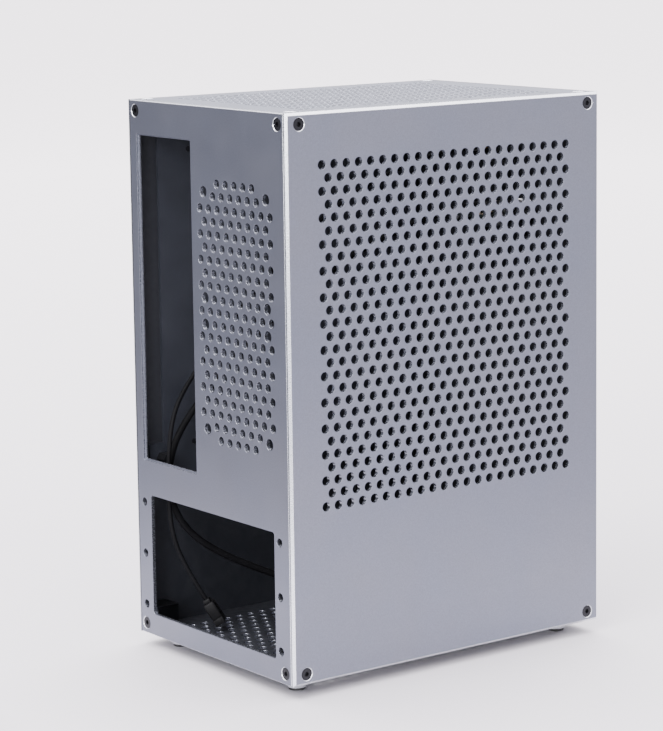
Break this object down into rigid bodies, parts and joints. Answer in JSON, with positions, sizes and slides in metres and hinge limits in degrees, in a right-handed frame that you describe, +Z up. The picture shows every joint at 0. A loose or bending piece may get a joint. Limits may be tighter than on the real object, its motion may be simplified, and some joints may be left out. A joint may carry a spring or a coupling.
{
  "type": "desktop computer tower",
  "caption": "Empty mini-ITX computer tower: vented aluminium plates on corner blocks, motherboard tray, spring-return power button, USB board, front-panel leads and rubber feet.",
  "frame": {"origin": "on the floor, under the middle of the bounding box", "axes": "+Z up, +Y out of the rear panel, -Y out of the front panel with the power button, -X out of the vented side panel"},
  "size_m": [0.13, 0.1908, 0.2705],
  "materials": {
    "panel_aluminium": "fine bead-blasted, pale grey anodised, black inside",
    "block_aluminium": "machined, black anodised",
    "foot_aluminium": "turned, anodised",
    "foot_rubber": "matte black",
    "screw_black": "black oxide",
    "tray_steel": "satin black powder coat",
    "terminal_brass": "plain",
    "button_steel": "satin",
    "light_ring": "translucent white",
    "spring_steel": "bright",
    "black_plastic": "moulded",
    "port_steel": "nickel plated",
    "circuit_board": "black solder mask",
    "cable_jacket": "black flexible jacket"
  },
  "bodies": {
    "chassis": {"bottom_panel": "panel_aluminium", "bottom_panel_screws": "screw_black", "button_contact_block": "black_plastic", "button_housing": "button_steel", "button_light_ring": "light_ring", "button_nut": "button_steel", "button_seal": "foot_rubber", "button_spring": "spring_steel", "button_terminals": "terminal_brass", "corner_block_front_left_lower": "block_aluminium", "corner_block_front_left_upper": "block_aluminium", "corner_block_front_right_lower": "block_aluminium", "corner_block_front_right_upper": "block_aluminium", "corner_block_rear_left_lower": "block_aluminium", "corner_block_rear_left_upper": "block_aluminium", "corner_block_rear_right_lower": "block_aluminium", "corner_block_rear_right_upper": "block_aluminium", "foot_pad_1": "foot_rubber", "foot_pad_2": "foot_rubber", "foot_pad_3": "foot_rubber", "foot_pad_4": "foot_rubber", "foot_ring_1": "foot_aluminium", "foot_ring_2": "foot_aluminium", "foot_ring_3": "foot_aluminium", "foot_ring_4": "foot_aluminium", "foot_screws": "screw_black", "front_panel": "panel_aluminium", "front_panel_screws": "screw_black", "left_panel_screws": "screw_black", "left_side_panel": "panel_aluminium", "motherboard_standoffs": "screw_black", "motherboard_tray": "tray_steel", "rear_panel": "panel_aluminium", "rear_panel_screws": "screw_black", "right_panel_screws": "screw_black", "right_side_panel": "panel_aluminium", "switch_cable": "cable_jacket", "switch_cable_boot": "black_plastic", "switch_plug": "black_plastic", "top_panel": "panel_aluminium", "top_panel_screws": "screw_black", "tray_screws": "screw_black", "usb_board": "circuit_board", "usb_board_screws": "spring_steel", "usb_board_spacers": "spring_steel", "usb_bracket": "tray_steel", "usb_bracket_screws": "screw_black", "usb_cable": "cable_jacket", "usb_cable_anchor": "black_plastic", "usb_large_insert": "black_plastic", "usb_large_shell": "port_steel", "usb_plug": "black_plastic", "usb_small_insert": "black_plastic", "usb_small_shell": "port_steel"},
    "power_button": {"button_cap": "button_steel"}
  },
  "joints": [
    {"name": "power_button_press", "type": "slide", "parent": "chassis", "child": "power_button", "axis": [0, 1, 0], "range_m": [0, 0.0015], "stiffness_N_per_m": 400, "springref_m": -0.003, "deforming": ["button_spring"]}
  ]
}
